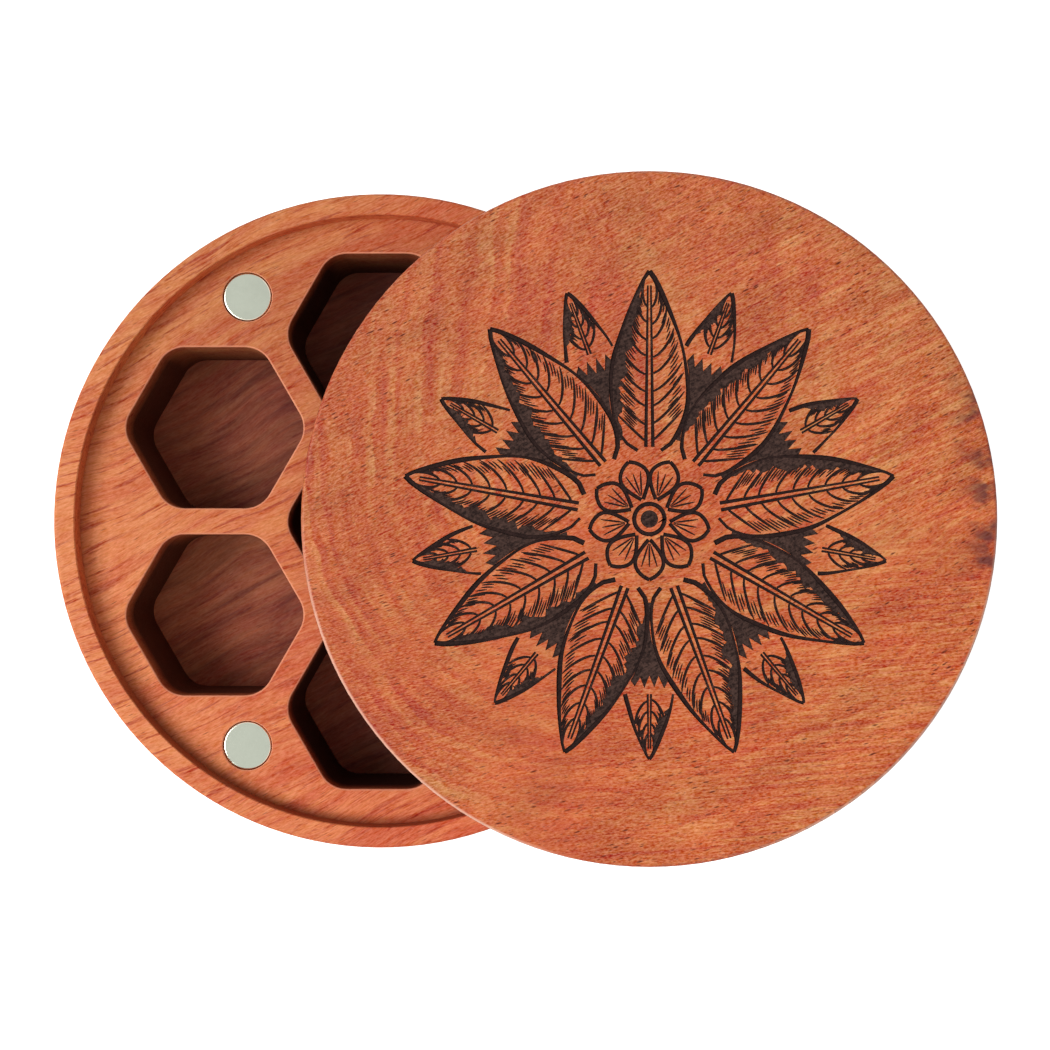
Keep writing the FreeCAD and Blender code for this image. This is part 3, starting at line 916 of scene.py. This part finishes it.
def touch(first, second):
    """Whether two lines come so close that their grooves could touch."""
    for x, y, half in first:
        for other_x, other_y, other_half in second:
            if math.hypot(x - other_x, y - other_y) < half + other_half + LINE_ROOM:
                return True
    return False


def box_round(line):
    """The lowest and highest X and Y of a line, with some room."""
    across, up, _ = zip(*line)
    return min(across) - BOX_ROOM, min(up) - BOX_ROOM, max(across) + BOX_ROOM, max(up) + BOX_ROOM


def sets_apart(lines):
    """The lines sorted into sets in which no two lines touch."""
    sets = []
    for line in lines:
        box = box_round(line)
        for members in sets:
            meet = (other for other, edge in members
                    if box[0] < edge[2] and edge[0] < box[2] and box[1] < edge[3] and edge[1] < box[3])
            if not any(touch(line, other) for other in meet):
                members.append((line, box))
                break
        else:
            sets.append([(line, box)])
    return [[line for line, box in members] for members in sets]


# ---- cutting the ornament

def deselect():
    """Leaves nothing selected."""
    bpy.ops.object.select_all(action="DESELECT")


def make_active(thing):
    """Leaves one object selected and active."""
    deselect()
    thing.select_set(True)
    bpy.context.view_layer.objects.active = thing


def edit_all():
    """Enters edit mode with the whole mesh selected."""
    bpy.ops.object.mode_set(mode="EDIT")
    bpy.ops.mesh.select_all(action="SELECT")


def face_outwards():
    """Turns all faces outwards and leaves edit mode."""
    bpy.ops.mesh.select_all(action="SELECT")
    bpy.ops.mesh.normals_make_consistent(inside=False)
    bpy.ops.object.mode_set(mode="OBJECT")


def from_middle(place):
    """How far a place is from the lid's middle, seen from above."""
    return math.hypot(place.x - LID_MIDDLE.x, place.y - LID_MIDDLE.y)


def line_cutter(name, lines, drop):
    """A cutter of round-bottomed grooves: a tube along each line, thinner where the line is."""
    deselect()
    bpy.ops.curve.primitive_bezier_curve_add(location=(0, 0, 0))
    cutter = bpy.context.object
    cutter.name = name
    curve = cutter.data
    curve.splines.clear()
    curve.dimensions = "3D"
    curve.twist_mode = "Z_UP"
    curve.bevel_depth = 1.0
    curve.bevel_resolution = 1
    curve.use_fill_caps = True
    for line in lines:
        line = [point for number, point in enumerate(line)
                if number == 0 or math.dist(point[:2], line[number - 1][:2]) > CLOSEST]
        if len(line) < 3:
            continue
        spline = curve.splines.new("POLY")
        spline.points.add(len(line) - 1)
        for point, (x, y, half) in zip(spline.points, line):
            point.co = (LID_MIDDLE.x + x * MM, LID_MIDDLE.y + y * MM, LID_TOP + drop, 1)
            point.radius = half * MM
    make_active(cutter)
    bpy.ops.object.convert(target="MESH")
    edit_all()
    bpy.ops.mesh.remove_doubles(threshold=SAME_GROOVE_POINT)
    face_outwards()
    return cutter


def area_cutter(name, areas, depth):
    """A cutter of shallow flat areas: each a flat outline extruded down past the top."""
    parts = []
    for outline in areas:
        deselect()
        bpy.ops.mesh.primitive_circle_add(
            vertices=len(outline), radius=MM, fill_type="NGON", location=(LID_MIDDLE.x, LID_MIDDLE.y, 0))
        part = bpy.context.object
        bpy.ops.object.transform_apply(location=True, rotation=True, scale=True)
        for corner, (x, y) in zip(part.data.vertices, outline):
            corner.co = (LID_MIDDLE.x + x * MM, LID_MIDDLE.y + y * MM, LID_TOP + CUTTER_RISE * MM)
        edit_all()
        drop = {"value": (0, 0, -CUTTER_RISE * MM - depth)}
        bpy.ops.mesh.extrude_region_move(TRANSFORM_OT_translate=drop)
        face_outwards()
        parts.append(part)
    make_active(parts[0])
    for part in parts:
        part.select_set(True)
    bpy.ops.object.join()
    parts[0].name = name
    return parts[0]


def cut(piece, cutter):
    """Takes a cutter out of a piece and removes the cutter."""
    make_active(piece)
    before = len(piece.data.polygons)
    bpy.ops.object.modifier_add(type="BOOLEAN")
    modifier = piece.modifiers[-1]
    modifier.operation = "DIFFERENCE"
    modifier.solver = "MANIFOLD"
    modifier.object = cutter
    bpy.ops.object.modifier_apply(modifier=modifier.name)
    bpy.data.objects.remove(cutter)
    if len(piece.data.polygons) <= before:
        raise RuntimeError("the ornament did not cut the lid")


def select_top(piece, reach):
    """Selects, in edit mode, the faces of the lid's top within a reach in millimetres."""
    bpy.ops.mesh.select_mode(type="FACE")
    bpy.ops.mesh.select_all(action="DESELECT")
    bpy.ops.object.mode_set(mode="OBJECT")
    slack = 0.001 * MM
    for face in piece.data.polygons:
        far = max(from_middle(piece.data.vertices[number].co) for number in face.vertices)
        on_top = face.normal.z > LEVEL_NORMAL and LID_TOP - face.center.z < slack
        face.select = on_top and far < reach * MM
    bpy.ops.object.mode_set(mode="EDIT")


def copy_of_lid():
    """The lid's own mesh as a piece of its own, its loose triangles merged and its top divided."""
    piece = bpy.data.objects.new("lid_with_ornament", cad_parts["lid"].data.copy())
    bpy.context.scene.collection.objects.link(piece)
    make_active(piece)
    edit_all()
    bpy.ops.mesh.remove_doubles(threshold=SAME_POINT)
    bpy.ops.mesh.customdata_custom_splitnormals_clear()
    bpy.ops.mesh.dissolve_limited(angle_limit=FLAT_ANGLE)
    select_top(piece, WHOLE_TOP)
    bpy.ops.mesh.inset(thickness=CARVED_MARGIN * MM)
    for turn in (0, 1):
        for number in range(-CARVED_STEPS, CARVED_STEPS + 1):
            select_top(piece, CARVED_REACH)
            away = (number + CARVED_SHIFT) * CARVED_CELL * MM
            place = (LID_MIDDLE.x + (0 if turn else away), LID_MIDDLE.y + (away if turn else 0), LID_TOP)
            bpy.ops.mesh.bisect(plane_co=place, plane_no=(1 - turn, turn, 0))
    bpy.ops.object.mode_set(mode="OBJECT")
    return piece


def lid_slot(face, ornament):
    """The slot of a face of the lid: 0 for its wood, 1 for a burnt line and 2 for a burnt area."""
    shallowest, deepest, beyond, slack = 0.003 * MM, 1 * MM, 2 * MM, 0.004 * MM
    below = LID_TOP - face.center.z
    burnt = shallowest < below < deepest and from_middle(face.center) < ornament.reach + beyond
    flat = face.normal.z > LEVEL_NORMAL and abs(below - ornament.shade_depth) < slack
    return (2 if flat else 1) if burnt else 0


# ---- operators

class DICECHEST_OT_tray(bpy.types.Operator):
    """Gives the tray its straight-grained wood"""
    bl_idname = "dice_chest.tray"
    bl_label = "Finish the tray"

    def execute(self, context):
        give_materials(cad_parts["tray"], tray_wood())
        return {"FINISHED"}


class DICECHEST_OT_lid(bpy.types.Operator):
    """Cuts the burnt ornament into the lid and gives the lid its flat-sawn wood"""
    bl_idname = "dice_chest.lid"
    bl_label = "Finish the lid"

    def execute(self, context):
        ornament = context.scene.dice_chest_ornament
        drawing = draw_medallion(ornament)
        piece = copy_of_lid()
        cut(piece, area_cutter("shade_cutter", drawing.areas, ornament.shade_depth))
        for number, lines in enumerate(sets_apart(drawing.lines)):
            cut(piece, line_cutter("line_cutter", lines, (GROOVE_RISE + GROOVE_STEP * number) * MM))
        dark = ornament.line_color
        give_materials(
            piece, lid_wood(),
            burnt_wood("burnt_line", dark, share_of(dark, BURNT_LINE_SHARE)),
            burnt_wood("burnt_shade", dark, share_of(ornament.shade_color, BURNT_AREA_SHARE)))
        for face in piece.data.polygons:
            face.material_index = lid_slot(face, ornament)
        make_active(piece)
        bpy.ops.object.shade_smooth_by_angle(angle=SMOOTH_ANGLE)
        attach(piece, "lid")
        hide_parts("lid")
        return {"FINISHED"}


class DICECHEST_OT_magnets(bpy.types.Operator):
    """Gives the magnets their nickel and the glue under them its finish"""
    bl_idname = "dice_chest.magnets"
    bl_label = "Finish the magnets"

    def execute(self, context):
        metal = nickel()
        glue = set_glue()
        for name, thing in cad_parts.items():
            if "_magnet_" in name:
                give_materials(thing, metal)
            elif "_glue_" in name:
                give_materials(thing, glue)
        return {"FINISHED"}


class DICECHEST_OT_stage(bpy.types.Operator):
    """Sets up the floor, the light and the camera"""
    bl_idname = "dice_chest.stage"
    bl_label = "Set up the picture"

    def execute(self, context):
        stage = context.scene.dice_chest_stage
        deselect()
        self.make_camera(context, stage)
        self.make_lamps(context, stage)
        self.make_world(context, stage)
        self.make_floor(stage)
        return {"FINISHED"}

    def make_camera(self, context, stage):
        """A camera that looks straight down."""
        bpy.ops.object.camera_add(location=stage.camera_place, rotation=(0, 0, 0))
        camera = context.object
        camera.data.lens = stage.lens
        camera.data.sensor_width = SENSOR_MM
        camera.data.shift_x = stage.shift_across
        camera.data.shift_y = stage.shift_up
        camera.data.clip_start = CLIP_START
        context.scene.camera = camera
        context.scene.view_settings.view_transform = "Standard"

    def make_lamps(self, context, stage):
        """A soft key lamp, and a soft light from above that nothing mirrors."""
        bpy.ops.object.light_add(type="AREA", location=stage.key_place)
        lamp = context.object
        lamp.data.energy = stage.key_power
        lamp.data.size = LAMP_SIZE
        lamp.rotation_euler = (LAMP_AIM - lamp.location).to_track_quat("-Z", "Y").to_euler()
        bpy.ops.object.light_add(type="SUN", location=(0, 0, 1), rotation=stage.sky_turn)
        sun = context.object
        sun.data.energy = stage.sky_power
        sun.data.angle = SUN_ANGLE
        sun.visible_glossy = False

    def make_world(self, context, stage):
        """White where it is seen or mirrored, softer where it lights."""
        world = bpy.data.worlds.new("studio")
        context.scene.world = world
        world.use_nodes = True
        tree = world.node_tree
        tree.nodes.clear()
        path = tree.nodes.new("ShaderNodeLightPath")
        seen = Wire(path, "Is Camera Ray").calc("MAXIMUM", Wire(path, "Is Glossy Ray"))
        seen = seen.calc("MAXIMUM", Wire(path, "Is Transmission Ray"))
        strength = seen.spread(0.0, 1.0, stage.ambient, 1.0)
        background = node(tree, "ShaderNodeBackground", {"Color": (1, 1, 1, 1), "Strength": strength})
        node(tree, "ShaderNodeOutputWorld", {0: Wire(background)})

    def make_floor(self, stage):
        """A white floor that keeps the object's shadow."""
        deselect()
        bpy.ops.mesh.primitive_plane_add(size=FLOOR_SIZE, location=(0, 0, 0))
        floor = bpy.context.object
        floor.name = "floor"
        glow = (stage.floor_glow,) * 3
        material, tree, shader = new_material(
            "floor_white", Base_Color=FLOOR_WHITE, Roughness=0.9, Emission_Color=(*glow, 1))
        path = tree.nodes.new("ShaderNodeLightPath")
        feed(shader, {"Emission Strength": Wire(path, "Is Camera Ray")})
        give_materials(floor, material)


class DICECHEST_PT_panel(bpy.types.Panel):
    """Lists the chest's operators and settings"""
    bl_label = "Dice chest"
    bl_idname = "DICECHEST_PT_panel"
    bl_space_type = "VIEW_3D"
    bl_region_type = "UI"
    bl_category = "Dice chest"

    def draw(self, context):
        for operator, group, name in PARTS:
            self.layout.operator(operator.bl_idname)
            for setting in group.__annotations__:
                self.layout.prop(getattr(context.scene, name), setting)


# each operator with its settings and their name in the scene
PARTS = (
    (DICECHEST_OT_tray, DiceChestWood, "dice_chest_wood"),
    (DICECHEST_OT_lid, DiceChestOrnament, "dice_chest_ornament"),
    (DICECHEST_OT_magnets, DiceChestMetal, "dice_chest_metal"),
    (DICECHEST_OT_stage, DiceChestStage, "dice_chest_stage"),
)


def register():
    for operator, group, name in PARTS:
        bpy.utils.register_class(group)
        setattr(bpy.types.Scene, name, bpy.props.PointerProperty(type=group))
        bpy.utils.register_class(operator)
    bpy.utils.register_class(DICECHEST_PT_panel)


def unregister():
    bpy.utils.unregister_class(DICECHEST_PT_panel)
    for operator, group, name in reversed(PARTS):
        bpy.utils.unregister_class(operator)
        delattr(bpy.types.Scene, name)
        bpy.utils.unregister_class(group)


def main():
    """Registers the add-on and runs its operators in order."""
    register()
    bpy.ops.dice_chest.stage()
    bpy.ops.dice_chest.tray()
    bpy.ops.dice_chest.lid()
    bpy.ops.dice_chest.magnets()


if __name__ == "__main__":
    main()
